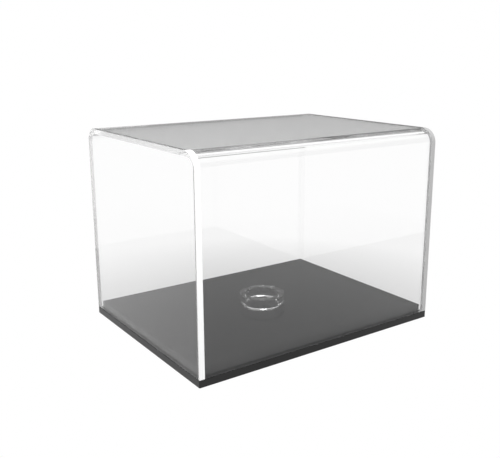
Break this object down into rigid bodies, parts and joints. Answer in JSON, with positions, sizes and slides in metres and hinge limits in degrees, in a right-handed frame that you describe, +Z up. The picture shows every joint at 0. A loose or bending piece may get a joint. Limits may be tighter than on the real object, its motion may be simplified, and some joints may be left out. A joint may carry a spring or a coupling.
{
  "type": "football display case",
  "caption": "Rectangular clear cover with two bent top edges, standing on a two-layer gloss black plinth and lifting off upwards, with a clear ring cemented on the plinth that holds the ball.",
  "frame": {"origin": "on the shelf, under the middle of the case, at the level of the four bumpers' undersides", "axes": "+X along the case's long side, to the right seen from the front; -Y towards the front; +Z up"},
  "size_m": [0.305, 0.235, 0.2215],
  "materials": {
    "base_black": "gloss black acrylic, polished edges",
    "panel_black": "gloss black acrylic, mirror-like face",
    "cover_clear": "clear acrylic, polished faces and edges",
    "ring_clear": "clear acrylic tube, polished cut edges",
    "bumper_clear": "clear soft polyurethane, satin"
  },
  "bodies": {
    "plinth": {"base_plate": "base_black", "locating_panel": "panel_black", "bumper_front_left": "bumper_clear", "bumper_front_right": "bumper_clear", "bumper_back_left": "bumper_clear", "bumper_back_right": "bumper_clear", "ball_ring": "ring_clear"},
    "cover": {"cover_front_top_back": "cover_clear", "cover_left_end": "cover_clear", "cover_right_end": "cover_clear"}
  },
  "joints": [
    {"name": "cover_lift", "type": "slide", "parent": "plinth", "child": "cover", "axis": [0, 0, 1], "range_m": [0, 0.24]}
  ]
}
